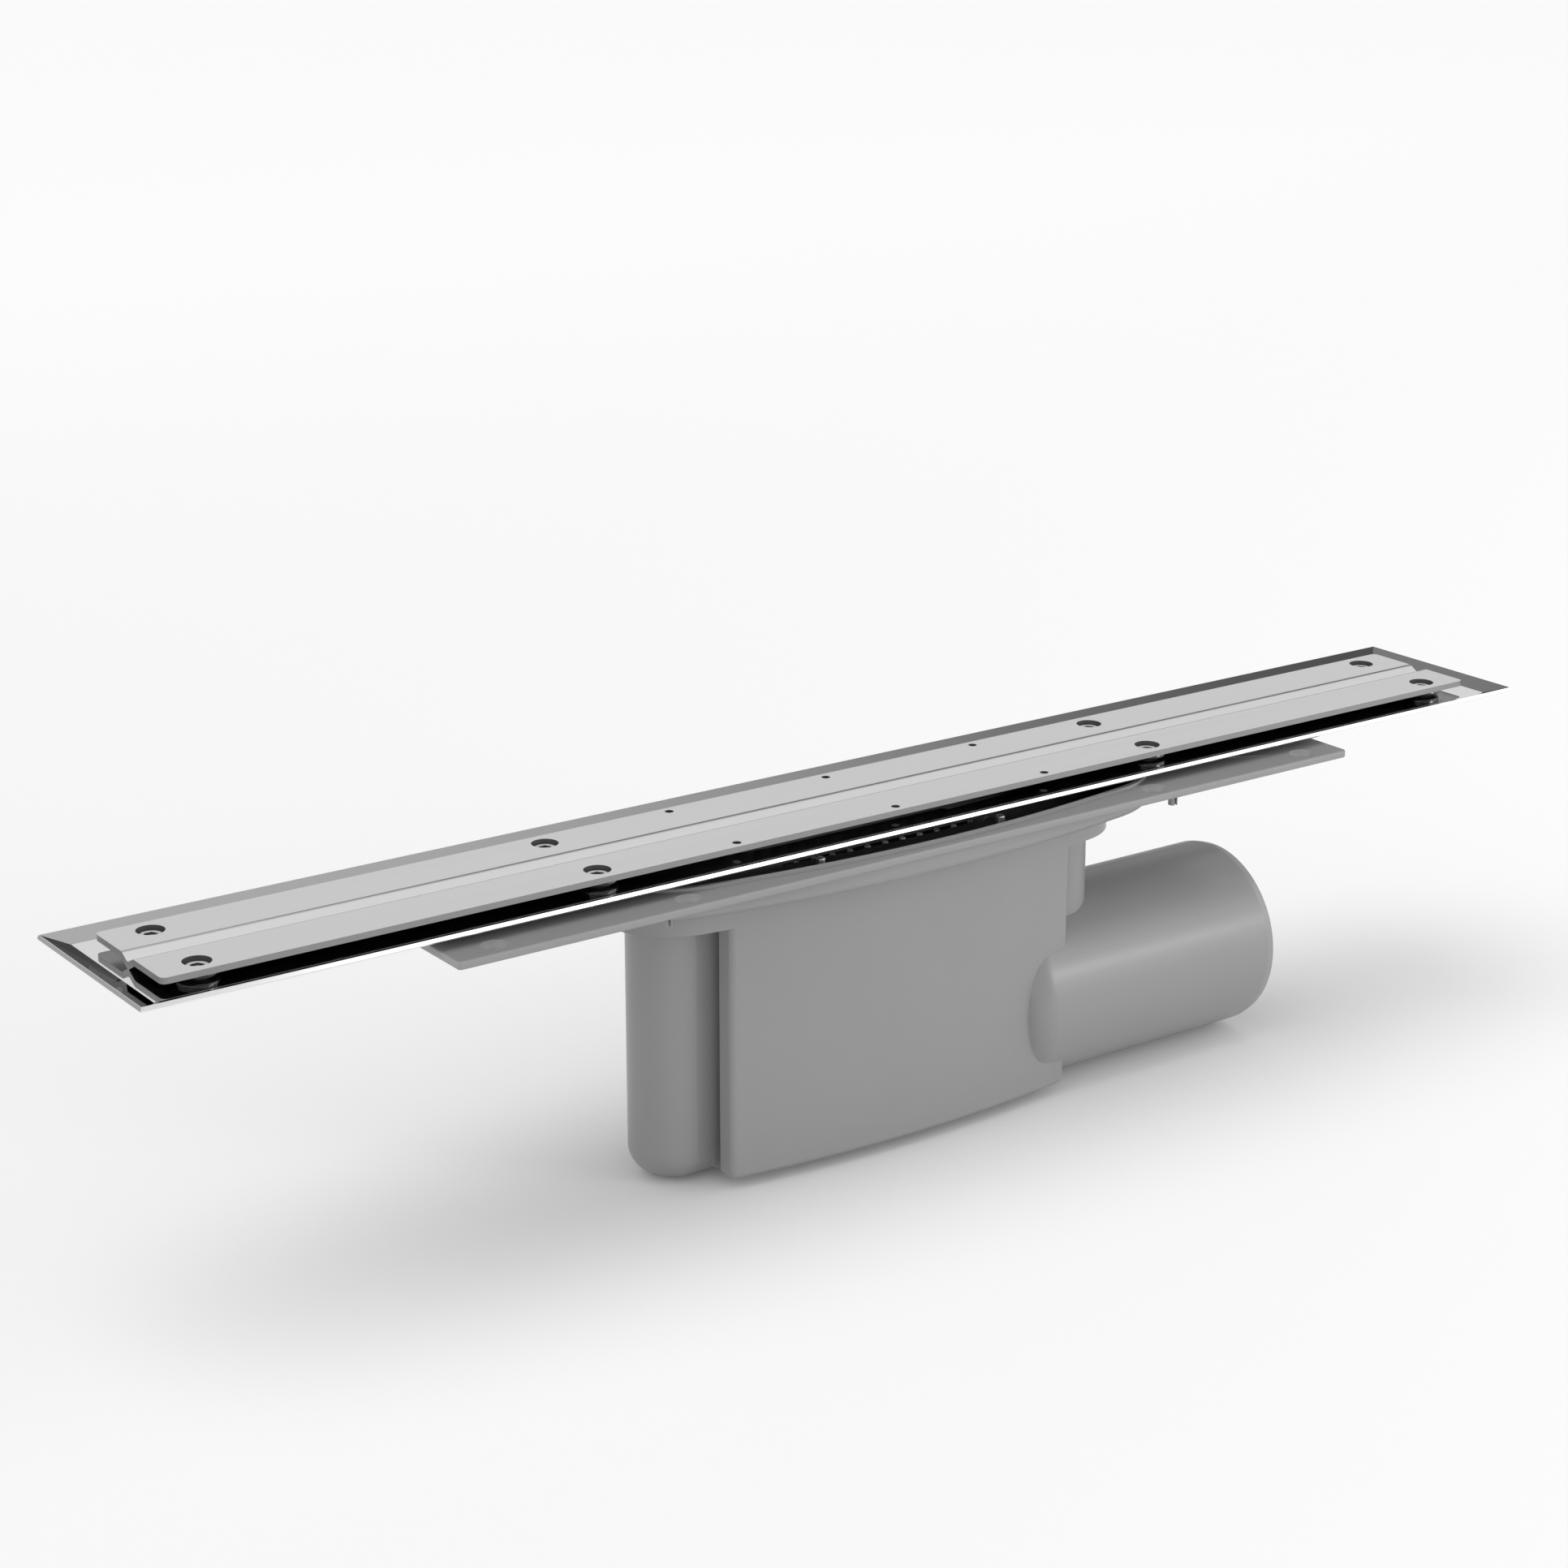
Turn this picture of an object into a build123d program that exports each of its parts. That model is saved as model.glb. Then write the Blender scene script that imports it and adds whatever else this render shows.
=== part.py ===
from build123d import *
import math
import os

# A linear shower drain in millimetres, +Z up.
# The origin is on the ground under the middle of the drain; X runs along the channel.

# Channel frame: a folded stainless pan with a sloping border
frame_length = 412.7
frame_width = 53.5
frame_sheet = 0.8
rim_lip = 1.1
lip_draft = 0.35
rim_edge = 0.15
slope_width = 5.6
pan_depth = 1.8

# Cover: two flat strips joined by a V rib that stands on the floor of the pan
cover_end_gap = 3.85
cover_side_gap = 4.08
cover_sheet = 1.5
cover_rise = 3.18
cover_corner = 1.5
rib_half_width = 2.95
rib_foot = 0.8
bend_inner_radius = 0.5

# Levelling screws and the round bushes that carry them under the cover
screw_end_inset = 10.8
screw_mid_x = 84.7
screw_edge_inset = 5.47
screw_diameter = 6.0
screw_clearance = 0.1
cover_hole_diameter = 6.6
socket_flats = 3.0
socket_depth = 0.6
screw_chamfer = 0.35
screw_recess = 1.1
bush_diameter = 10.0
bush_height = 1.3
bush_round = 0.8
pilot_diameter = 2.2
pilot_pitch = 47.4
pilot_edge_inset = 2.57

# Heights of the stack: the rim above the ground, then depths below the rim
rim_height = 86.3
bead_height = 0.75
flange_thickness = 2.1
bowl_depth = 11.0
collar_depth = 18.0

# Mounting flange of the siphon with its barrel-shaped bowl
flange_length = 269.8
flange_width = 68.8
flange_corner = 1.0
hole_end_inset = 11.9
hole_inner_x = 71.2
hole_edge_inset = 4.5
hole_diameter = 4.0
hole_head_diameter = 7.0
peg_x = 77.6
peg_diameter = 2.4
peg_length = 3.3
peg_slit = 0.8
barrel_offset = 344.2
bowl_half_width = 30.8
bowl_end_x = 60.0
bowl_wall = 2.0
bowl_round = 3.0
bead_width = 1.2
skirt_depth = 3.6
skirt_wall = 1.5
skirt_clearance = 0.15

# Trap body: recessed foot, panelled tank, end tube, collar, neck and outlet spigot
foot_height = 3.0
foot_inset = 11.0
tank_half_width = 23.2
tank_end_x = 57.0
tank_wall = 2.2
panel_half_length = 52.5
panel_corner = 1.5
panel_round = 1.5
tube_radius = 11.1
tube_drop = 2.2
tube_round = 7.0
groove_width = 3.1
groove_depth = 10.0
neck_radius = 13.4
chamber_left = -40.0
chamber_right = 34.5
sill_rise = 54.0
pipe_radius = 25.0
pipe_wall = 1.8
pipe_start = 37.7
pipe_end = 121.4
spigot_start = 71.0
root_draft = 0.3
pipe_round = 8.0
taper_length = 2.4
taper_depth = 0.6

# Removable trap insert with its seal
seal_thickness = 1.0
seal_width = 6.1
insert_gap = 1.2
insert_sheet = 1.5
insert_fit = 0.5
dish_depth = 5.3
dip_end_gap = 1.5
dip_right = 0.0
dip_side_step = 0.85
dip_corner = 4.0
dip_mouth_rise = 8.0

# Hair strainer with its pins, and the posts that lift the insert
strainer_fit = 0.4
strainer_sheet = 1.0
strainer_foot = 1.0
strainer_foot_width = 1.5
strainer_slot_width = 3.0
strainer_slot_half_length = 30.0
strainer_slot_pitch = 6.0
strainer_slot_count = 4
pin_diameter = 1.6
pin_height = 2.6
pin_pitch = 5.37
pin_count = 12
pin_edge_inset = 2.95
post_diameter = 2.2
post_height = 2.25
post_x = 27.7
post_dish_gap = 2.55
press_clearance = 0.02

# Outlet opening in the floor of the pan
outlet_half_width = 16.5
outlet_collar = 1.5

# Levels and places worked out from the sizes above
floor_top = rim_height - pan_depth
floor_under = floor_top - frame_sheet
flange_top = floor_under - bead_height
flange_under = flange_top - flange_thickness
bowl_under = rim_height - bowl_depth
bowl_floor = bowl_under + bowl_wall
collar_under = rim_height - collar_depth
cover_top = floor_top + cover_rise
cover_under = cover_top - cover_sheet
screw_top = cover_top - screw_recess
seal_top = bowl_floor + seal_thickness
insert_top = seal_top + insert_sheet
dish_floor = insert_top - dish_depth
strainer_under = dish_floor + strainer_foot
strainer_top = strainer_under + strainer_sheet
tank_bottom = foot_height
tank_floor = tank_bottom + tank_wall
tube_bottom = tank_bottom - tube_drop
sill_level = tank_bottom + sill_rise
dip_mouth = tank_bottom + dip_mouth_rise
pipe_axis = pipe_radius + root_draft
taper_start = pipe_end - taper_length
floor_length = frame_length - 2 * slope_width
floor_width = frame_width - 2 * slope_width
cover_length = floor_length - 2 * cover_end_gap
cover_width = floor_width - 2 * cover_side_gap
screw_end_x = cover_length / 2 - screw_end_inset
screw_y = cover_width / 2 - screw_edge_inset
pilot_y = cover_width / 2 - pilot_edge_inset
hole_outer_x = flange_length / 2 - hole_end_inset
hole_y = flange_width / 2 - hole_edge_inset
insert_half_width = bowl_half_width - insert_gap
skirt_half_width = tank_half_width - tank_wall - skirt_clearance
dish_half_width = skirt_half_width - skirt_wall - insert_fit
dish_inner_half_width = dish_half_width - insert_sheet
strainer_half_width = dish_inner_half_width - strainer_fit
dip_left = chamber_left + dip_end_gap
dip_half_width = dish_inner_half_width - dip_side_step
pin_y = strainer_half_width - pin_edge_inset
post_y = dish_half_width + post_dish_gap

RAISED = (Align.CENTER, Align.CENTER, Align.MIN)
BOTH_SIDES = (-1, 1)
PLACE_TOLERANCE = 0.01
screw_places = [
    (side_x * along, side_y * screw_y)
    for along in (screw_end_x, screw_mid_x)
    for side_x in BOTH_SIDES
    for side_y in BOTH_SIDES
]


def barrel(half_width, end_x):
    """A plan outline with two long bulged sides that run into round ends centred at end_x."""
    side_radius = barrel_offset + half_width
    reach = math.hypot(end_x, barrel_offset)
    end_radius = side_radius - reach
    meet_x = end_x * side_radius / reach
    meet_y = barrel_offset * side_radius / reach - barrel_offset
    upper = ThreePointArc((-meet_x, meet_y), (0, half_width), (meet_x, meet_y))
    right = ThreePointArc((meet_x, meet_y), (end_x + end_radius, 0), (meet_x, -meet_y))
    lower = ThreePointArc((meet_x, -meet_y), (0, -half_width), (-meet_x, -meet_y))
    left = ThreePointArc((-meet_x, -meet_y), (-end_x - end_radius, 0), (-meet_x, meet_y))
    return make_face([upper, right, lower, left])


def prism(outline, bottom, top):
    """An outline raised straight from one level to another."""
    return Pos(0, 0, bottom) * extrude(outline, top - bottom)


def block(x_from, x_to, half_width, bottom, top):
    """A rectangular block that is symmetrical across the drain."""
    middle = (x_from + x_to) / 2
    return Pos(middle, 0, bottom) * Box(x_to - x_from, 2 * half_width, top - bottom, align=RAISED)


def post(x, y, radius, bottom, top):
    """A round upright post."""
    return Pos(x, y, bottom) * Cylinder(radius, top - bottom, align=RAISED)


def along_pipe(upright, x_from):
    """A round bar laid on the axis of the outlet pipe, from one station along the drain."""
    return Pos(x_from, 0, pipe_axis) * Rot(0, 90, 0) * upright


def lowest_edges(solid):
    """The edges of a solid's lowest face."""
    return solid.faces().sort_by(Axis.Z)[0].edges()


def highest_edges(solid):
    """The edges of a solid's highest face."""
    return solid.faces().sort_by(Axis.Z)[-1].edges()


def edges_at(edges, across, level):
    """The edges that lie at one level, at one distance either side of the middle."""
    at_level = [edge for edge in edges if abs(edge.center().Z - level) < PLACE_TOLERANCE]
    return [edge for edge in at_level if abs(abs(edge.center().Y) - across) < PLACE_TOLERANCE]


def make_frame_tray():
    """The folded pan: a cut lip square to a border that slopes inwards, and a flat floor with an outlet."""
    lip_level = rim_height - rim_lip
    top_length = frame_length - 2 * lip_draft
    top_width = frame_width - 2 * lip_draft
    outer_rectangle = Rectangle(frame_length, frame_width)
    top_rectangle = Rectangle(top_length, top_width)
    under_rectangle = Rectangle(floor_length, floor_width)
    lip = loft([Pos(0, 0, lip_level) * outer_rectangle, Pos(0, 0, rim_height) * top_rectangle])
    shell = lip + loft([Pos(0, 0, lip_level) * outer_rectangle, Pos(0, 0, floor_under) * under_rectangle])
    mouth = Rectangle(top_length - 2 * rim_edge, top_width - 2 * rim_edge)
    pan = loft([Pos(0, 0, rim_height) * mouth, Pos(0, 0, floor_top) * under_rectangle])
    outlet = barrel(outlet_half_width, tank_end_x)
    collar = barrel(outlet_half_width + frame_sheet, tank_end_x)
    shell = shell - pan + prism(collar, floor_under - outlet_collar, floor_under)
    return shell - prism(outlet, floor_under - outlet_collar, floor_top)


def make_cover_plate():
    """The folded cover: flat strips either side of a V rib, with screw holes and small pilot holes."""
    half_width = cover_width / 2
    slope = math.atan2(cover_rise - cover_sheet, rib_half_width)
    rib_turn = rib_half_width + cover_sheet * math.tan(slope / 2)
    rib_floor = cover_top - rib_half_width * math.tan(slope) + rib_foot / 2 * math.tan(slope)
    foot = rib_foot / 2
    outline = Polyline(
        (-half_width, cover_top),
        (-rib_half_width, cover_top),
        (-foot, rib_floor),
        (foot, rib_floor),
        (rib_half_width, cover_top),
        (half_width, cover_top),
        (half_width, cover_under),
        (rib_turn, cover_under),
        (foot, floor_top),
        (-foot, floor_top),
        (-rib_turn, cover_under),
        (-half_width, cover_under),
        close=True,
    )
    sheet = extrude(Plane.YZ * make_face(outline), cover_length / 2, both=True)
    corners = [
        edge
        for edge in sheet.edges().filter_by(Axis.Z)
        if abs(abs(edge.center().Y) - half_width) < cover_sheet / 2
    ]
    sheet = fillet(corners, cover_corner)
    folds = sheet.edges().filter_by(Axis.X)
    sheet = fillet(edges_at(folds, rib_half_width, cover_top), bend_inner_radius + cover_sheet)
    folds = sheet.edges().filter_by(Axis.X)
    sheet = fillet(edges_at(folds, rib_turn, cover_under), bend_inner_radius)
    for x, y in screw_places:
        sheet = sheet - post(x, y, cover_hole_diameter / 2, cover_under, cover_top)
    for step in (-1, 0, 1):
        for side in BOTH_SIDES:
            sheet = sheet - post(step * pilot_pitch, side * pilot_y, pilot_diameter / 2, cover_under, cover_top)
    return sheet


def make_cover_bush(x, y):
    """One threaded bush fixed under a screw hole of the cover."""
    bush_under = cover_under - bush_height
    bush = post(x, y, bush_diameter / 2, bush_under, cover_under)
    bush = fillet(lowest_edges(bush), bush_round)
    return bush - post(x, y, (screw_diameter + screw_clearance) / 2, bush_under, cover_under)


def make_levelling_screw(x, y):
    """One short set screw that stands on the floor of the pan, with a hexagon socket."""
    screw = post(x, y, screw_diameter / 2, floor_top, screw_top)
    screw = chamfer(highest_edges(screw), screw_chamfer)
    hexagon = RegularPolygon(socket_flats / 2, 6, major_radius=False)
    return screw - Pos(x, y, 0) * prism(hexagon, screw_top - socket_depth, screw_top)


def make_inlet_flange():
    """The mounting flange of the siphon: screw plate, beaded mouth, bowl and locating skirt."""
    plate = RectangleRounded(flange_length, flange_width, flange_corner)
    mouth = barrel(bowl_half_width, bowl_end_x)
    bead = barrel(bowl_half_width + bead_width, bowl_end_x)
    bowl = prism(barrel(bowl_half_width + bowl_wall, bowl_end_x), bowl_under, flange_under)
    bowl = fillet(lowest_edges(bowl), bowl_round)
    skirt = barrel(skirt_half_width, tank_end_x)
    throat = barrel(skirt_half_width - skirt_wall, tank_end_x)
    flange = prism(plate, flange_under, flange_top) + prism(bead, flange_top, floor_under) + bowl
    flange = flange - prism(mouth, bowl_floor, floor_under)
    flange = flange + prism(skirt, bowl_under - skirt_depth, bowl_under)
    flange = flange - prism(throat, bowl_under - skirt_depth, bowl_floor)
    head_depth = (hole_head_diameter - hole_diameter) / 2
    for along in (hole_outer_x, hole_inner_x):
        for side_x in BOTH_SIDES:
            for side_y in BOTH_SIDES:
                x = side_x * along
                y = side_y * hole_y
                head = Cone(hole_diameter / 2, hole_head_diameter / 2, head_depth, align=RAISED)
                flange = flange - post(x, y, hole_diameter / 2, flange_under, flange_top)
                flange = flange - Pos(x, y, flange_top - head_depth) * head
    for side_x in BOTH_SIDES:
        for side_y in BOTH_SIDES:
            x = side_x * peg_x
            y = side_y * hole_y
            peg = post(x, y, peg_diameter / 2, flange_under - peg_length, flange_under)
            slit = Pos(x, y, flange_under - peg_length) * Box(peg_slit, peg_diameter, peg_length, align=RAISED)
            flange = flange + (peg - slit)
    return flange


def tank_slice(half_width, x_from, x_to, bottom, top):
    """The bulged tank section between two stations along the drain."""
    return prism(barrel(half_width, tank_end_x), bottom, top) & block(
        x_from, x_to, tank_half_width + tank_wall, bottom, top
    )


def make_trap_body():
    """The tank moulding: bulged panels, a round end tube, a collar, a neck and the outlet spigot."""
    panels = tank_slice(tank_half_width, -panel_half_length, panel_half_length, tank_bottom, bowl_under)
    panels = fillet(panels.edges().filter_by(Axis.Z), panel_corner)
    panels = fillet(lowest_edges(panels), panel_round)
    foot_end = panel_half_length - foot_inset
    foot = tank_slice(tank_half_width - foot_inset, -foot_end, foot_end, 0, tank_bottom)
    tube = post(-tank_end_x, 0, tube_radius, tube_bottom, bowl_under)
    tube = tube + block(-tank_end_x, 0, tube_radius, tube_bottom, bowl_under)
    tube = fillet(lowest_edges(tube), tube_round)
    collar = prism(barrel(tank_half_width, tank_end_x), collar_under, bowl_under)
    neck = post(tank_end_x, 0, neck_radius, pipe_axis, bowl_under)
    root_length = spigot_start - pipe_start
    root = along_pipe(Cone(pipe_radius + root_draft, pipe_radius, root_length, align=RAISED), pipe_start)
    root = fillet(root.faces().sort_by(Axis.X)[0].edges(), pipe_round)
    spigot = along_pipe(Cylinder(pipe_radius, taper_start - spigot_start, align=RAISED), spigot_start)
    taper = along_pipe(Cone(pipe_radius, pipe_radius - taper_depth, taper_length, align=RAISED), taper_start)
    for side in BOTH_SIDES:
        groove_middle = side * (tube_radius + groove_width / 2)
        groove = Box(2 * groove_depth, groove_width, collar_under - tank_bottom, align=RAISED)
        panels = panels - Pos(-panel_half_length, groove_middle, tank_bottom) * groove
    body = panels + foot + tube + collar + neck + root + spigot + taper
    inner = tank_half_width - tank_wall
    shaft_radius = neck_radius - tank_wall
    chamber = tank_slice(inner, chamber_left, chamber_right, tank_floor, bowl_under)
    sump = post(-tank_end_x, 0, tube_radius - tank_wall, tank_floor, bowl_under)
    sump = sump + block(-tank_end_x, chamber_left, tube_radius - tank_wall, tank_floor, bowl_under)
    gallery = prism(barrel(inner, tank_end_x), collar_under + tank_wall, bowl_under)
    passage = block(chamber_right, tank_end_x, shaft_radius, sill_level, bowl_under)
    shaft = post(tank_end_x, 0, shaft_radius, pipe_axis, bowl_under)
    bore_start = pipe_start + pipe_wall
    bore = along_pipe(Cylinder(pipe_radius - pipe_wall, pipe_end - bore_start, align=RAISED), bore_start)
    bore = fillet(bore.faces().sort_by(Axis.X)[0].edges(), pipe_round - pipe_wall)
    return body - chamber - sump - gallery - passage - shaft - bore


def make_insert_seal():
    """The flat rubber ring under the rim of the trap insert."""
    outer = barrel(insert_half_width, bowl_end_x)
    inner = barrel(insert_half_width - seal_width, bowl_end_x)
    return prism(outer, bowl_floor, seal_top) - prism(inner, bowl_floor, seal_top)


def make_trap_insert():
    """The drop-in part that makes the water seal: rim, dish and a dip tube that reaches down the tank."""
    dish_under = dish_floor - insert_sheet
    rim = prism(barrel(insert_half_width, bowl_end_x), seal_top, insert_top)
    dish = prism(barrel(dish_half_width, tank_end_x), dish_under, insert_top)
    dish_inside = prism(barrel(dish_inner_half_width, tank_end_x), dish_floor, insert_top)
    tube_middle = (dip_left + dip_right) / 2
    tube_length = dip_right - dip_left
    tube = Pos(tube_middle, 0) * RectangleRounded(tube_length, 2 * dip_half_width, dip_corner)
    tube_inside = Pos(tube_middle, 0) * RectangleRounded(
        tube_length - 2 * insert_sheet, 2 * (dip_half_width - insert_sheet), dip_corner - insert_sheet
    )
    insert = rim + dish - dish_inside
    insert = insert + prism(tube, dip_mouth, dish_under) - prism(tube_inside, dip_mouth, dish_floor)
    for side_x in BOTH_SIDES:
        for side_y in BOTH_SIDES:
            hole_radius = post_diameter / 2 + press_clearance
            insert = insert - post(side_x * post_x, side_y * post_y, hole_radius, seal_top, insert_top)
    return insert


def pin_places():
    """The places of the strainer's pins, in two straight rows."""
    first = -(pin_count - 1) / 2
    return [(pin_pitch * (first + index), side * pin_y) for side in BOTH_SIDES for index in range(pin_count)]


def make_strainer_plate():
    """The slotted plate in the dish, on a foot that runs round its edge."""
    plate = prism(barrel(strainer_half_width, tank_end_x), dish_floor, strainer_top)
    hollow = barrel(strainer_half_width - strainer_foot_width, tank_end_x)
    plate = plate - prism(hollow, dish_floor, strainer_under)
    slot = SlotOverall(2 * strainer_slot_half_length, strainer_slot_width)
    for index in range(strainer_slot_count):
        y = strainer_slot_pitch * (index - (strainer_slot_count - 1) / 2)
        plate = plate - Pos(0, y, 0) * prism(slot, strainer_under, strainer_top)
    for x, y in pin_places():
        plate = plate - post(x, y, pin_diameter / 2 + press_clearance, strainer_under, strainer_top)
    return plate


def make_strainer_pin(x, y):
    """One round-headed pin pressed into the strainer plate."""
    pin = post(x, y, pin_diameter / 2, strainer_under, strainer_top + pin_height)
    return fillet(highest_edges(pin), pin_diameter / 4)


def make_lifting_post(x, y):
    """One round-headed post pressed into the rim of the trap insert."""
    stem = post(x, y, post_diameter / 2, seal_top, insert_top + post_height)
    return fillet(highest_edges(stem), post_diameter / 4)


post_places = [(side_x * post_x, side_y * post_y) for side_x in BOTH_SIDES for side_y in BOTH_SIDES]
nodes = {
    "frame_tray": make_frame_tray(),
    "cover_plate": make_cover_plate(),
    "cover_bushes": Compound(children=[make_cover_bush(x, y) for x, y in screw_places]),
    "levelling_screws": Compound(children=[make_levelling_screw(x, y) for x, y in screw_places]),
    "inlet_flange": make_inlet_flange(),
    "trap_body": make_trap_body(),
    "insert_seal": make_insert_seal(),
    "trap_insert": make_trap_insert(),
    "strainer_plate": make_strainer_plate(),
    "strainer_pins": Compound(children=[make_strainer_pin(x, y) for x, y in pin_places()]),
    "lifting_posts": Compound(children=[make_lifting_post(x, y) for x, y in post_places]),
}

os.makedirs("parts", exist_ok=True)
for name, shape in nodes.items():
    export_step(shape, os.path.join("parts", name + ".step"))
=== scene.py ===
import logging
import math
from dataclasses import dataclass
from enum import Enum
from typing import Any, Callable, Optional

import bmesh
import bpy
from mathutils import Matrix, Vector


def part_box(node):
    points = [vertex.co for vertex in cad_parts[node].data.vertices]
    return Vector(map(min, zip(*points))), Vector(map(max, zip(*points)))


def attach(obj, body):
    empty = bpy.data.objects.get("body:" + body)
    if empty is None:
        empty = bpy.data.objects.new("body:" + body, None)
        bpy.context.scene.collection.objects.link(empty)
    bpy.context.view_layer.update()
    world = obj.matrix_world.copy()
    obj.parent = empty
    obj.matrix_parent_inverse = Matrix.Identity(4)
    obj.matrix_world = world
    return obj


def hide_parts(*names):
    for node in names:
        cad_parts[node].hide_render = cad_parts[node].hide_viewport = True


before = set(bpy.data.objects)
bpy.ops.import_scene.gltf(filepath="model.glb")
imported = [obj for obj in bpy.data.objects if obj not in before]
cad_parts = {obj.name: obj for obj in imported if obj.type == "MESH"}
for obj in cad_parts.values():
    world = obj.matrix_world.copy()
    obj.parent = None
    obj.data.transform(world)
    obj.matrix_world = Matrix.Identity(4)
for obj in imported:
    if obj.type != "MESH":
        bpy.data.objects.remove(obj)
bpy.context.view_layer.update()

# A linear shower drain: stainless pan and cover over a moulded grey siphon.
# Lengths are in metres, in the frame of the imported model.

LOG = logging.getLogger("shower_drain")
MM = 0.001
ROOT_BODY = "root"


class Slot(Enum):
    """The material slots of the drain's record."""

    POLISHED_STEEL = "polished_steel"
    BRUSHED_STEEL = "brushed_steel"
    FASTENER_STEEL = "fastener_steel"
    GREY_PLASTIC = "grey_plastic"
    BLACK_PLASTIC = "black_plastic"
    SEAL_RUBBER = "seal_rubber"


class Wire:
    """One output of a shader node, with arithmetic that adds Math nodes."""

    def __init__(self, graph: "Graph", socket: bpy.types.NodeSocket) -> None:
        """Keeps the socket and the graph that it belongs to."""
        self.graph = graph
        self.socket = socket

    def _math(self, operation: str, first: Any, second: Any) -> "Wire":
        """Adds one Math node on two values."""
        return self.graph.node("ShaderNodeMath", {"operation": operation}, {0: first, 1: second})

    def __add__(self, other: Any) -> "Wire":
        """Self plus other."""
        return self._math("ADD", self, other)

    def __radd__(self, other: Any) -> "Wire":
        """Other plus self."""
        return self._math("ADD", other, self)

    def __sub__(self, other: Any) -> "Wire":
        """Self minus other."""
        return self._math("SUBTRACT", self, other)

    def __rsub__(self, other: Any) -> "Wire":
        """Other minus self."""
        return self._math("SUBTRACT", other, self)

    def __mul__(self, other: Any) -> "Wire":
        """Self times other."""
        return self._math("MULTIPLY", self, other)

    def __rmul__(self, other: Any) -> "Wire":
        """Other times self."""
        return self._math("MULTIPLY", other, self)


class Graph:
    """A shader node tree that is written as calls and expressions."""

    def __init__(self, tree: bpy.types.NodeTree) -> None:
        """Starts from an empty tree.

        Args:
            tree: the node tree of a material or of the world.
        """
        self.tree = tree
        tree.nodes.clear()

    def node(
        self,
        kind: str,
        settings: Optional[dict] = None,
        inputs: Optional[dict] = None,
        output: Any = 0,
    ) -> Optional[Wire]:
        """Makes one node.

        Args:
            kind: the node's type.
            settings: its own properties, set first.
            inputs: values or wires for its sockets, by name or number.
            output: the socket that is returned, by name or number.

        Returns:
            The chosen output, or None for a node with no output.
        """
        made = self.tree.nodes.new(kind)
        for name, value in (settings or {}).items():
            setattr(made, name, value)
        for name, value in (inputs or {}).items():
            if isinstance(value, Wire):
                self.tree.links.new(value.socket, made.inputs[name])
            else:
                made.inputs[name].default_value = value
        return Wire(self, made.outputs[output]) if len(made.outputs) else None

    def place(self) -> Wire:
        """The position on the object, in metres."""
        return self.node("ShaderNodeTexCoord", output="Object")

    def component(self, vector: Wire, axis: str) -> Wire:
        """One component of a vector."""
        return self.node("ShaderNodeSeparateXYZ", {}, {0: vector}, output=axis)

    def facing(self, axis: str) -> Wire:
        """One component of the direction that a face looks in."""
        return self.component(self.node("ShaderNodeNewGeometry", output="True Normal"), axis)

    def grain(self, scale: tuple, detail: float = 2.0, roughness: float = 0.5) -> Wire:
        """A noise pattern with its own scale along each axis.

        Args:
            scale: cells per metre along X, Y and Z.
            detail: octaves of finer noise.
            roughness: weight of the finer octaves.

        Returns:
            The noise value, about 0 to 1.
        """
        stretched = self.node("ShaderNodeMapping", {}, {"Vector": self.place(), "Scale": scale})
        return self.node(
            "ShaderNodeTexNoise",
            {"noise_dimensions": "3D"},
            {"Vector": stretched, "Scale": 1.0, "Detail": detail, "Roughness": roughness},
        )

    def blend(self, factor: Wire, low: Any, high: Any) -> Wire:
        """A colour between two colours, by a factor from 0 to 1."""
        return self.node(
            "ShaderNodeMix",
            {"data_type": "RGBA", "clamp_factor": True},
            {"Factor": factor, 6: low, 7: high},
            output=2,
        )

    def ease(self, value: Wire, band: tuple) -> Wire:
        """A smooth step of a value, from 0 to 1 over a band.

        Args:
            value: what is stepped.
            band: where the step begins and where it is complete, which may be the lower of the two.

        Returns:
            The step, 0 to 1.
        """
        start, end = band
        if end > start:
            reach = {"From Min": start, "From Max": end, "To Min": 0.0, "To Max": 1.0}
        else:
            reach = {"From Min": end, "From Max": start, "To Min": 1.0, "To Max": 0.0}
        return self.node(
            "ShaderNodeMapRange", {"interpolation_type": "SMOOTHSTEP"}, {"Value": value, **reach}
        )

    def bump(self, height: Wire, strength: float, depth: float) -> Wire:
        """A normal from a height pattern.

        Args:
            height: the pattern, 0 to 1.
            strength: how much of it shows.
            depth: the height of a full step, in metres.

        Returns:
            The normal.
        """
        return self.node(
            "ShaderNodeBump", {}, {"Height": height, "Strength": strength, "Distance": depth}
        )


def grey(level: float) -> tuple:
    """A neutral opaque colour of one linear level."""
    return (level, level, level, 1.0)


@dataclass(frozen=True)
class Finish:
    """A surface finish that can make its material."""

    name: str
    slot: Slot

    def material(self) -> bpy.types.Material:
        """Builds the material from the finish's own surface.

        Returns:
            The new material.
        """
        made = bpy.data.materials.new(self.name)
        made.use_nodes = True
        graph = Graph(made.node_tree)
        graph.node("ShaderNodeOutputMaterial", {}, {"Surface": self.surface(graph)})
        return made

    def surface(self, graph: Graph) -> Wire:
        """The finish's shader."""
        raise NotImplementedError


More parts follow.
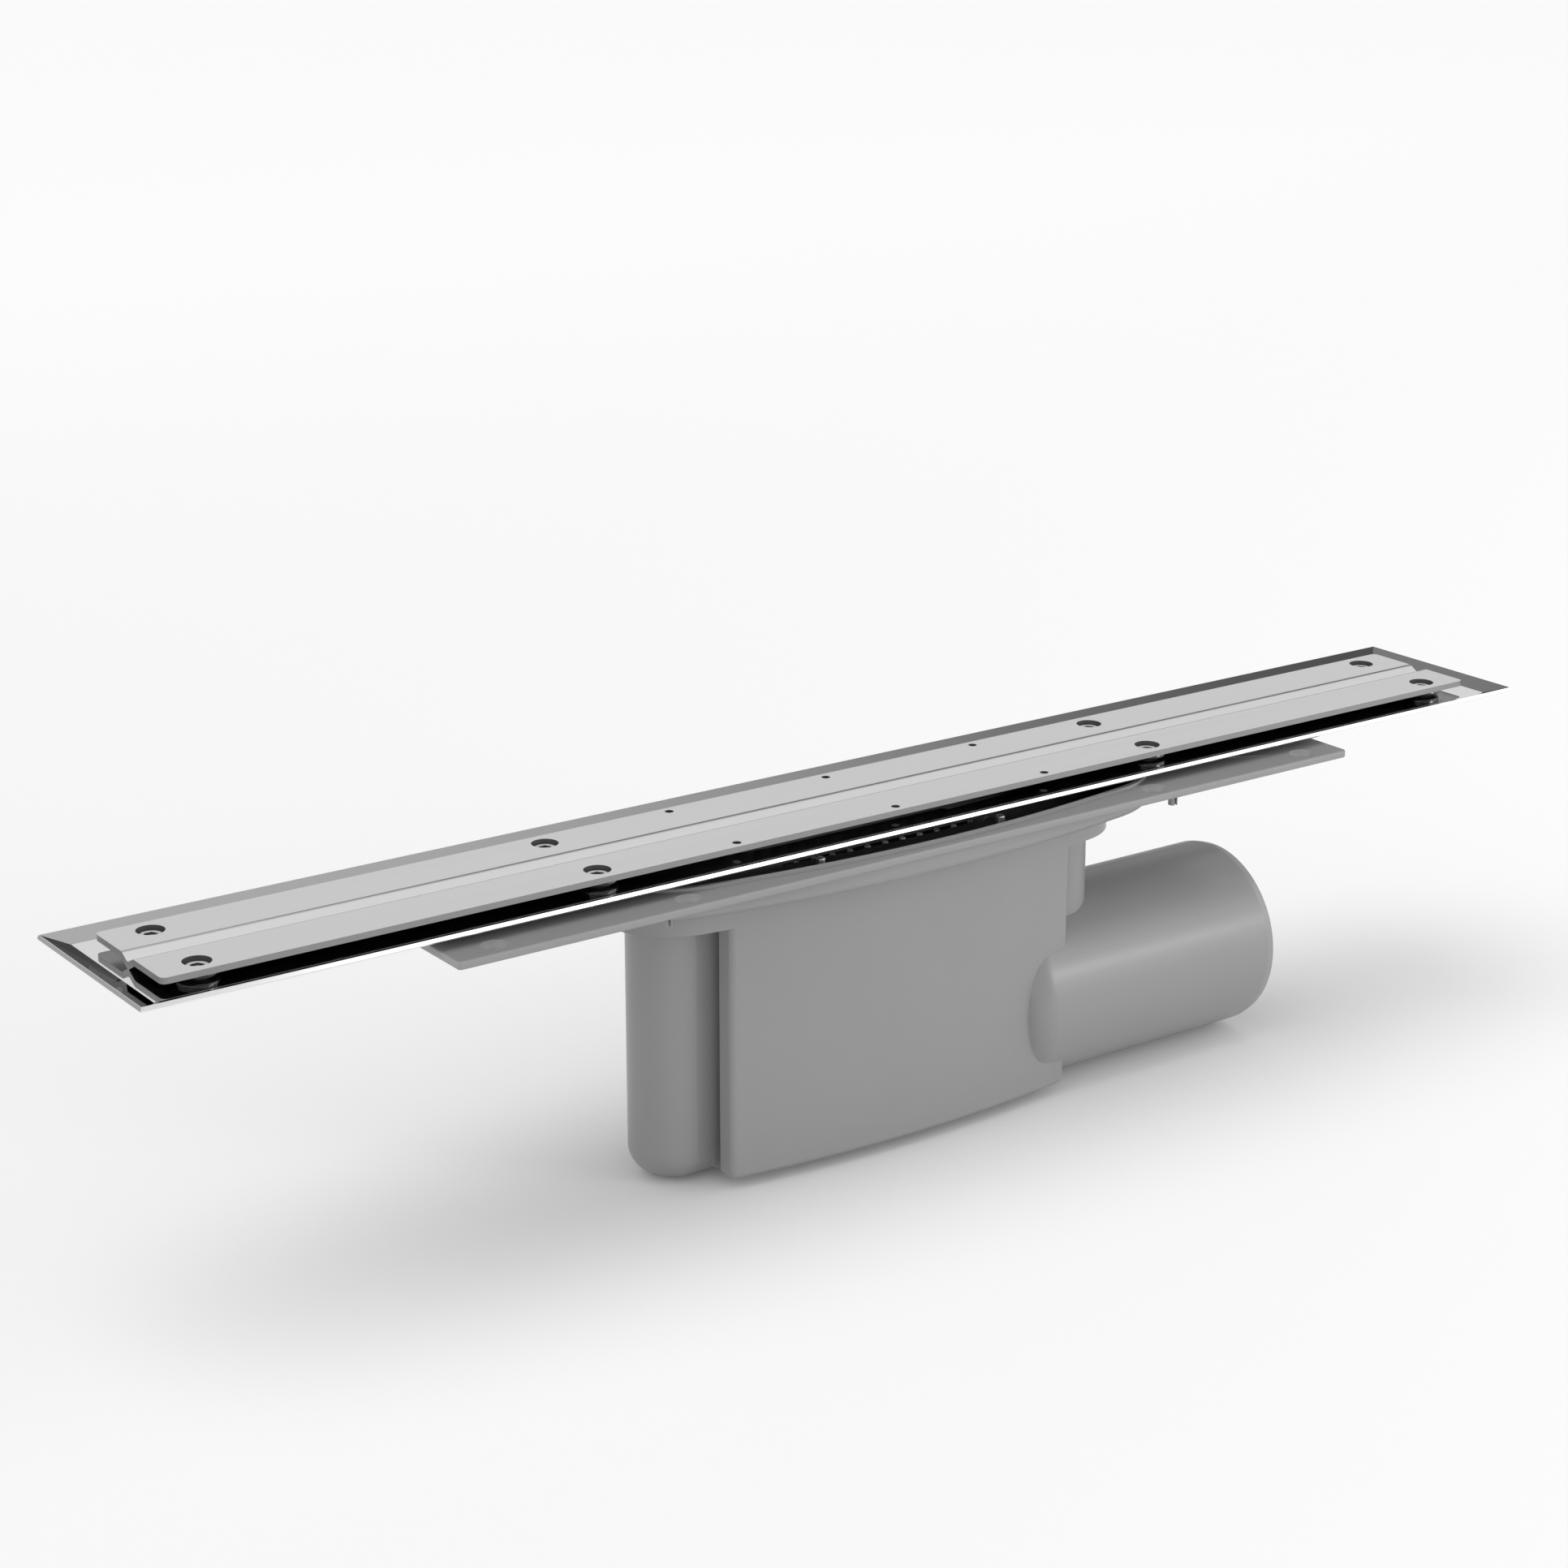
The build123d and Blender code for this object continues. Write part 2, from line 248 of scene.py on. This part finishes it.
@dataclass(frozen=True)
class CutEdgesAndShade:
    """How a sheet or a bar looks where a tool has cut it, with painted shade: rough and darker than its
    faces.

    A face counts as cut by how steeply it stands; its darker tone is partly a dull cut edge and partly
    painted shade and painted dimming of its reflection. Cuts within the reach are the walls of holes,
    which get painted shade. Faces that look down get painted shade, and faces that slope towards the
    ends a painted darker reflection.
    The bands for steep, end and end slope are on the square of one component of a face's direction,
    the under band is on the upward component, and the reach band is in shares of the reach.
    """

    side_tone: float
    end_tone: float
    gloss: float
    hole_shade_tone: Optional[float] = None
    reach: tuple = (0.0, 0.0)
    under_shade_tone: Optional[float] = None
    end_slope_shade_tone: Optional[float] = None
    steep_band: tuple = (0.25, 0.12)
    end_band: tuple = (0.5, 0.7)
    end_slope_band: tuple = (0.04, 0.08)
    under_band: tuple = (-0.3, -0.6)
    reach_band: tuple = (0.985, 0.995)

    def _mask(self, graph: Graph) -> Wire:
        """A mask of the steep faces, where cut edges and painted shade go."""
        upward = graph.facing("Z")
        return graph.ease(upward * upward, self.steep_band)

    def _past(self, graph: Graph, axis: str, reach: float) -> Wire:
        """A mask of what lies farther than a reach from the middle, along one axis."""
        along = graph.component(graph.place(), axis)
        return graph.ease(along * along, tuple((share * reach) ** 2 for share in self.reach_band))

    def colour(self, graph: Graph, face: Wire) -> Wire:
        """The colour with the steep faces, hole walls, undersides and end slopes worked in, partly as
        dull cut edges and partly as painted shade.

        Args:
            graph: the material's graph.
            face: the colour of the other faces.

        Returns:
            The whole colour.
        """
        # Steep faces are darker: partly a dull cut edge, partly painted shade and painted dimming of
        # reflections.
        along = graph.facing("X")
        ends = graph.ease(along * along, self.end_band)
        edge_and_shade_colour = graph.blend(ends, grey(self.side_tone), grey(self.end_tone))
        # The walls of holes get painted shade.
        if self.hole_shade_tone is not None:
            outside = self._past(graph, "X", self.reach[0]) + self._past(graph, "Y", self.reach[1])
            edge_and_shade_colour = graph.blend(outside, grey(self.hole_shade_tone), edge_and_shade_colour)
        whole = face
        # Faces that slope towards the ends get a painted darker reflection.
        if self.end_slope_shade_tone is not None:
            sloping = graph.ease(along * along, self.end_slope_band)
            whole = graph.blend(sloping, whole, grey(self.end_slope_shade_tone))
        # Faces that look down get painted shade.
        if self.under_shade_tone is not None:
            under = graph.ease(graph.facing("Z"), self.under_band)
            whole = graph.blend(under, whole, grey(self.under_shade_tone))
        return graph.blend(self._mask(graph), whole, edge_and_shade_colour)

    def roughness(self, graph: Graph, face: Wire) -> Wire:
        """The roughness with the cut faces worked in.

        Args:
            graph: the material's graph.
            face: the roughness of the other faces.

        Returns:
            The whole roughness.
        """
        return face + (self.gloss - face) * self._mask(graph)


@dataclass(frozen=True)
class RolledSteel(Finish):
    """Stainless sheet with a fine lengthwise grain."""

    tone: float
    gloss: float
    gloss_spread: float
    tone_spread: float = 0.05
    grain_along: float = 60.0
    grain_across: float = 2600.0
    streak_along: float = 5.0
    streak_across: float = 260.0
    grain_depth: float = 0.004 * MM
    grain_strength: float = 0.25
    grain_detail: float = 3.0
    grain_weight: float = 0.6
    metal: float = 1.0
    cut_and_shade: Optional[CutEdgesAndShade] = None

    def surface(self, graph: Graph) -> Wire:
        """Metal whose grain changes tone, gloss and normal together.

        Args:
            graph: the material's graph.

        Returns:
            The shader.
        """
        fine_scale = (self.grain_along, self.grain_across, self.grain_across)
        fine = graph.grain(fine_scale, self.grain_detail, self.grain_weight)
        streak = graph.grain((self.streak_along, self.streak_across, self.streak_across))
        mixed = 0.5 * fine + 0.5 * streak
        low = grey(self.tone - self.tone_spread)
        high = grey(self.tone + self.tone_spread)
        colour = graph.blend(mixed, low, high)
        roughness = self.gloss + self.gloss_spread * fine
        # Steep faces, hole walls, undersides and end slopes take their tones here: partly dull cut
        # edges, partly painted shade and painted dimmed reflections.
        if self.cut_and_shade:
            colour = self.cut_and_shade.colour(graph, colour)
            roughness = self.cut_and_shade.roughness(graph, roughness)
        return graph.node(
            "ShaderNodeBsdfPrincipled",
            {},
            {
                "Base Color": colour,
                "Metallic": self.metal,
                "Roughness": roughness,
                "Normal": graph.bump(fine, self.grain_strength, self.grain_depth),
            },
        )


@dataclass(frozen=True)
class MouldedPlastic(Finish):
    """Injection-moulded plastic with a fine skin and faint flow clouds."""

    tone: float
    gloss: float
    tone_spread: float = 0.012
    gloss_spread: float = 0.08
    skin_scale: float = 2400.0
    skin_depth: float = 0.012 * MM
    skin_strength: float = 0.25
    skin_detail: float = 2.0
    skin_weight: float = 0.6
    cloud_scale: tuple = (55.0, 55.0, 30.0)
    cloud_detail: float = 3.0
    refraction: float = 1.5
    top_shade_tone: Optional[float] = None
    top_gloss: float = 0.75
    top_band: tuple = (0.62, 0.80)

    def surface(self, graph: Graph) -> Wire:
        """Satin plastic whose skin is a fine even grain, with painted shade and a rougher gloss on
        faces that look up where a top shade tone is given.

        Args:
            graph: the material's graph.

        Returns:
            The shader.
        """
        skin = graph.grain((self.skin_scale,) * 3, self.skin_detail, self.skin_weight)
        cloud = graph.grain(self.cloud_scale, self.cloud_detail)
        low = grey(self.tone - self.tone_spread)
        high = grey(self.tone + self.tone_spread)
        colour = graph.blend(0.5 * skin + 0.5 * cloud, low, high)
        roughness = self.gloss + self.gloss_spread * cloud
        # Faces that look up, the countersinks among them, get painted shade and a rougher gloss.
        if self.top_shade_tone is not None:
            upper = graph.ease(graph.facing("Z"), self.top_band)
            shaded_top = graph.blend(skin, grey(self.top_shade_tone - self.tone_spread), grey(self.top_shade_tone))
            colour = graph.blend(upper, colour, shaded_top)
            roughness = roughness + (self.top_gloss - roughness) * upper
        return graph.node(
            "ShaderNodeBsdfPrincipled",
            {},
            {
                "Base Color": colour,
                "Roughness": roughness,
                "IOR": self.refraction,
                "Normal": graph.bump(skin, self.skin_strength, self.skin_depth),
            },
        )


# The pan's lip face and ends are a darker steel than its faces as painted dimming of their reflections,
# and its sloping ends carry a painted darker reflection.
POLISHED_STEEL = RolledSteel(
    "polished_pan_steel", Slot.POLISHED_STEEL, tone=0.93, tone_spread=0.015, gloss=0.03,
    gloss_spread=0.03, grain_along=40.0, grain_across=700.0, grain_strength=0.04,
    cut_and_shade=CutEdgesAndShade(side_tone=0.78, end_tone=0.34, gloss=0.15, end_slope_shade_tone=0.42),
)
# The cover's cut edges are darker partly as a dull cut and partly as painted shade; its hole walls and
# underside carry painted shade.
BRUSHED_STEEL = RolledSteel(
    "brushed_cover_steel", Slot.BRUSHED_STEEL, tone=0.88, gloss=0.18, gloss_spread=0.08,
    cut_and_shade=CutEdgesAndShade(
        side_tone=0.31, end_tone=0.29, gloss=0.60, hole_shade_tone=0.12, reach=(196.9 * MM, 17.07 * MM),
        under_shade_tone=0.30,
    ),
)
# The screws' upright faces, the walls of their sockets among them, are near black: painted shade.
SCREW_STEEL = RolledSteel(
    "blasted_screw_steel", Slot.FASTENER_STEEL, tone=0.58, gloss=0.48, gloss_spread=0.10,
    grain_along=900.0, grain_across=900.0, grain_strength=0.10, metal=0.3,
    cut_and_shade=CutEdgesAndShade(side_tone=0.04, end_tone=0.04, gloss=0.60),
)
FASTENER_STEEL = RolledSteel(
    "bright_fastener_steel", Slot.FASTENER_STEEL, tone=0.80, gloss=0.34, gloss_spread=0.10,
    grain_along=900.0, grain_across=900.0, grain_strength=0.10,
)
GREY_PLASTIC = MouldedPlastic("moulded_grey_plastic", Slot.GREY_PLASTIC, tone=0.265, gloss=0.27)
# The flange's upward faces and countersinks are darker as painted shade.
FLANGE_PLASTIC = MouldedPlastic(
    "moulded_flange_plastic", Slot.GREY_PLASTIC, tone=0.265, gloss=0.34, top_shade_tone=0.185,
)
BLACK_PLASTIC = MouldedPlastic(
    "moulded_black_plastic", Slot.BLACK_PLASTIC, tone=0.012, tone_spread=0.003, gloss=0.34,
)
BUSH_PLASTIC = MouldedPlastic(
    "moulded_bush_plastic", Slot.BLACK_PLASTIC, tone=0.010, tone_spread=0.002, gloss=0.10,
    gloss_spread=0.03,
)
SEAL_RUBBER = MouldedPlastic(
    "seal_rubber_skin", Slot.SEAL_RUBBER, tone=0.014, tone_spread=0.004, gloss=0.62,
    skin_scale=1500.0,
)


@dataclass
class Wardrobe:
    """Makes each finish's material once and dresses pieces in it."""

    made: dict

    def dress(self, piece: bpy.types.Object, finish: Finish) -> None:
        """Gives a piece one finish on all its faces.

        Args:
            piece: the object to dress.
            finish: the finish that it takes.
        """
        if finish.name not in self.made:
            self.made[finish.name] = finish.material()
        piece.data.materials.clear()
        piece.data.materials.append(self.made[finish.name])
        LOG.info("dressed %s in %s", piece.name, finish.name)


@dataclass
class SubAssembly:
    """CAD pieces that belong together; a subclass names their finishes and adds its own pieces."""

    wardrobe: Wardrobe
    round_segments: int = 3
    weld_gap: float = 0.002 * MM
    flat_deg: float = 0.6

    def finishes(self) -> dict:
        """The finish of each CAD piece, by node."""
        raise NotImplementedError

    def build(self) -> None:
        """Dresses the CAD pieces."""
        for node, finish in self.finishes().items():
            self.wardrobe.dress(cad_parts[node], finish)

    def round_edges(
        self, node: str, name: str, chosen: Callable, radius: float, crease_deg: float
    ) -> None:
        """Replaces a CAD piece by a copy that has some of its edges rounded.

        Args:
            node: the CAD piece.
            name: the name of the copy.
            chosen: tells whether an edge is rounded.
            radius: how far the rounding reaches from the edge.
            crease_deg: the smallest turn between two faces that shows as a crease.
        """
        mesh = bmesh.new()
        mesh.from_mesh(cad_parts[node].data)
        bmesh.ops.remove_doubles(mesh, verts=mesh.verts, dist=self.weld_gap)
        bmesh.ops.dissolve_limit(
            mesh, angle_limit=math.radians(self.flat_deg), verts=mesh.verts, edges=mesh.edges
        )
        bmesh.ops.bevel(
            mesh,
            geom=[edge for edge in mesh.edges if chosen(edge)],
            offset=radius,
            segments=self.round_segments,
            profile=0.5,
            affect="EDGES",
            material=-1,
        )
        piece = finish_piece(name, mesh)
        piece.data.shade_smooth()
        piece.data.set_sharp_from_angle(angle=math.radians(crease_deg))
        finish = self.finishes()[node]
        self.wardrobe.dress(piece, finish)
        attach(piece, ROOT_BODY)
        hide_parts(node)


@dataclass
class Channel(SubAssembly):
    """The stainless pan with its cover, the bushes under the cover and the levelling screws."""

    lip_round: float = 0.3 * MM
    lip_height: float = 1.1 * MM
    level_gap: float = 0.02 * MM
    fold_deg: float = 3.0

    def finishes(self) -> dict:
        """The finish of each piece of the channel."""
        return {
            "frame_tray": POLISHED_STEEL,
            "cover_plate": BRUSHED_STEEL,
            "cover_bushes": BUSH_PLASTIC,
            "levelling_screws": SCREW_STEEL,
        }

    def build(self) -> None:
        """Dresses the channel and rounds the foot of the pan's lip."""
        super().build()
        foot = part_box("frame_tray")[1][2] - self.lip_height
        self.round_edges(
            "frame_tray",
            "rounded_tray",
            lambda edge: all(abs(corner.co.z - foot) < self.level_gap for corner in edge.verts),
            self.lip_round,
            self.fold_deg,
        )


@dataclass
class TrapInsert(SubAssembly):
    """The black drop-in trap with its seal, hair strainer, pins and lifting posts."""

    def finishes(self) -> dict:
        """The finish of each piece of the insert."""
        return {
            "insert_seal": SEAL_RUBBER,
            "trap_insert": BLACK_PLASTIC,
            "strainer_plate": BLACK_PLASTIC,
            "strainer_pins": FASTENER_STEEL,
            "lifting_posts": FASTENER_STEEL,
        }


@dataclass
class Siphon(SubAssembly):
    """The grey mouldings: the trap body, and the screw flange with its moulded rounded rim."""

    rim_round: float = 0.5 * MM
    crease_deg: float = 20.0
    upright_limit: float = 0.5

    def finishes(self) -> dict:
        """The finish of each piece of the siphon."""
        return {"inlet_flange": FLANGE_PLASTIC, "trap_body": GREY_PLASTIC}

    def build(self) -> None:
        """Dresses the mouldings and rounds the rim of the flange."""
        super().build()
        low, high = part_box("inlet_flange")
        self.round_edges(
            "inlet_flange",
            "rounded_flange",
            lambda edge: self._on_rim(edge, low, high),
            self.rim_round,
            self.crease_deg,
        )

    def _on_rim(self, edge: bmesh.types.BMEdge, low: tuple, high: tuple) -> bool:
        """Tells whether an edge is a crease between a flat face and the upright rim of the flange.

        Args:
            edge: an edge of the flange.
            low: the flange's lowest corner.
            high: the flange's highest corner.

        Returns:
            True for the creases along the rim.
        """
        upright = [face for face in edge.link_faces if abs(face.normal.z) < self.upright_limit]
        if len(upright) != 1:
            return False
        middle = upright[0].calc_center_median()
        return any(
            middle[axis] > high[axis] - self.rim_round or middle[axis] < low[axis] + self.rim_round
            for axis in (0, 1)
        )


@dataclass(frozen=True)
class SoftBox:
    """A rectangular light that looks at the drain; sizes in metres, power in watts."""

    name: str
    direction: tuple
    width: float
    height: float
    power: float
    distance: float = 1.6

    def build(self) -> None:
        """Hangs the light in its direction, seen from the drain."""
        lamp = bpy.data.lights.new(self.name, "AREA")
        lamp.shape = "RECTANGLE"
        lamp.size = self.width
        lamp.size_y = self.height
        lamp.energy = self.power
        box = bpy.data.objects.new(self.name, lamp)
        bpy.context.scene.collection.objects.link(box)
        towards = Vector(self.direction).normalized()
        box.location = towards * self.distance
        box.rotation_euler = towards.to_track_quat("Z", "Y").to_euler()


KEY = SoftBox("key", (0.769, -0.559, 0.309), width=2.0, height=1.0, power=7.6)
KICKER = SoftBox("kicker", (0.559, -0.769, 0.309), width=0.50, height=0.13, power=2.4)


@dataclass
class Studio:
    """The pale floor, the soft light and the camera.

    A band is where a zone of the floor or the dome begins and where it is full.
    """

    floor_reach: float = 9.0
    floor_tone: float = 0.79
    floor_glow: float = 0.04
    floor_glow_behind: float = 0.12
    behind_band: tuple = (0.2, 1.6)
    sky_low: float = 0.70
    sky_front: float = 0.76
    front_band: tuple = (0.32, -0.05)
    sky_left: float = 1.25
    left_band: tuple = (-0.45, -0.85)
    left_top_band: tuple = (0.75, 0.55)
    sky_back: float = 0.42
    back_band: tuple = (0.15, 0.36)
    back_foot_band: tuple = (0.38, 0.48)
    back_top_band: tuple = (0.90, 0.80)
    sky_top: float = 2.60
    top_direction: tuple = (-0.32, 0.117, 0.94)
    top_band: tuple = (0.85, 0.94)
    card_level: float = 0.08
    card_edge_deg: float = 57.0
    card_edge_band: tuple = (-0.025, 0.006)
    card_back_band: tuple = (0.16, 0.33)
    card_foot_band: tuple = (0.42, 0.52)
    card_top_band: tuple = (0.80, 0.62)
    horizon_level: float = 0.12
    horizon_band: tuple = (0.17, 0.09)
    backdrop_level: float = 0.95
    lens_mm: float = 74.06
    sensor_mm: float = 36.0
    near_clip: float = 0.01
    camera_from_rim: tuple = (-0.45926, -0.61058, 0.24872)
    camera_forward: tuple = (0.5533, 0.7749, -0.3059)

    def build(self, rim_level: float) -> None:
        """Sets up the whole studio.

        Args:
            rim_level: the height of the pan's rim, which the camera is measured from.
        """
        self._floor()
        self._dome()
        KEY.build()
        KICKER.build()
        self._camera(rim_level)
        view = bpy.context.scene.view_settings
        view.view_transform = "Standard"
        view.look = "None"

    def _floor(self) -> None:
        """A wide pale floor that keeps its shadows soft and light."""
        mesh = bmesh.new()
        bmesh.ops.create_grid(mesh, x_segments=1, y_segments=1, size=self.floor_reach)
        floor = finish_piece("studio_floor", mesh)
        made = bpy.data.materials.new("studio_floor_paint")
        made.use_nodes = True
        graph = Graph(made.node_tree)
        matt = graph.node("ShaderNodeBsdfDiffuse", {}, {"Color": grey(self.floor_tone)})
        behind = graph.ease(graph.component(graph.place(), "Y"), self.behind_band)
        level = graph.blend(behind, grey(self.floor_glow), grey(self.floor_glow_behind))
        glow = graph.node("ShaderNodeEmission", {}, {"Color": level})
        both = graph.node("ShaderNodeAddShader", {}, {0: matt, 1: glow})
        graph.node("ShaderNodeOutputMaterial", {}, {"Surface": both})
        floor.data.materials.append(made)

    def _dome(self) -> None:
        """A dome of light, and a plain pale backdrop where the camera sees past the floor."""
        world = bpy.data.worlds.new("studio_dome")
        bpy.context.scene.world = world
        world.use_nodes = True
        graph = Graph(world.node_tree)
        level = self._sky(graph)
        seen = graph.node("ShaderNodeLightPath", output="Is Camera Ray")
        level = level + (self.backdrop_level - level) * seen
        light = graph.node("ShaderNodeBackground", {}, {"Color": grey(1.0), "Strength": level})
        graph.node("ShaderNodeOutputWorld", {}, {"Surface": light})

    def _sky(self, graph: Graph) -> Wire:
        """The dome's brightness: high overhead, with a dark card high behind the drain on the right.

        Args:
            graph: the world's graph.

        Returns:
            The brightness in each direction.
        """
        ray = graph.node("ShaderNodeTexCoord", output="Generated")
        along, side, height = (graph.component(ray, axis) for axis in "XYZ")
        turn = math.radians(self.card_edge_deg)
        past_edge = self._towards(graph, ray, (math.sin(turn), -math.cos(turn), 0.0))
        left = graph.ease(along, self.left_band) * graph.ease(height, self.left_top_band)
        back = graph.ease(side, self.back_band)
        middle = graph.ease(height, self.back_foot_band) * graph.ease(height, self.back_top_band)
        card = graph.ease(height, self.card_foot_band) * graph.ease(height, self.card_top_band)
        card = card * graph.ease(past_edge, self.card_edge_band) * graph.ease(side, self.card_back_band)
        zones = (
            (self.sky_front, graph.ease(side, self.front_band)),
            (self.sky_left, left),
            (self.sky_back, middle * back),
            (self.card_level, card),
            (self.sky_top, graph.ease(self._towards(graph, ray, self.top_direction), self.top_band)),
            (self.horizon_level, graph.ease(height, self.horizon_band) * back),
        )
        level = self.sky_low
        for zone_level, zone in zones:
            level = level + (zone_level - level) * zone
        return level

    @staticmethod
    def _towards(graph: Graph, ray: Wire, direction: tuple) -> Wire:
        """How far a ray points in a direction, as a dot product."""
        return graph.node(
            "ShaderNodeVectorMath", {"operation": "DOT_PRODUCT"}, {0: ray, 1: direction}, output="Value"
        )

    def _camera(self, rim_level: float) -> None:
        """The camera at the photograph's viewing angle.

        Args:
            rim_level: the height of the pan's rim.
        """
        lens = bpy.data.cameras.new("camera")
        lens.lens = self.lens_mm
        lens.sensor_width = self.sensor_mm
        lens.clip_start = self.near_clip
        camera = bpy.data.objects.new("camera", lens)
        bpy.context.scene.collection.objects.link(camera)
        camera.location = Vector(self.camera_from_rim) + Vector((0.0, 0.0, rim_level))
        camera.rotation_euler = Vector(self.camera_forward).to_track_quat("-Z", "Y").to_euler()
        bpy.context.scene.camera = camera


def finish_piece(name: str, mesh: bmesh.types.BMesh) -> bpy.types.Object:
    """Turns a finished bmesh into an object at the origin.

    Args:
        name: the name of the piece.
        mesh: the bmesh, which is freed.

    Returns:
        The new object, linked to the scene.
    """
    data = bpy.data.meshes.new(name)
    mesh.to_mesh(data)
    mesh.free()
    made = bpy.data.objects.new(name, data)
    bpy.context.scene.collection.objects.link(made)
    return made


def main() -> None:
    """Dresses the drain and sets up the studio."""
    logging.basicConfig(level=logging.INFO)
    wardrobe = Wardrobe({})
    for part in (Channel(wardrobe), TrapInsert(wardrobe), Siphon(wardrobe)):
        part.build()
    rim_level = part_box("frame_tray")[1][2]
    Studio().build(rim_level)


if __name__ == "__main__":
    main()
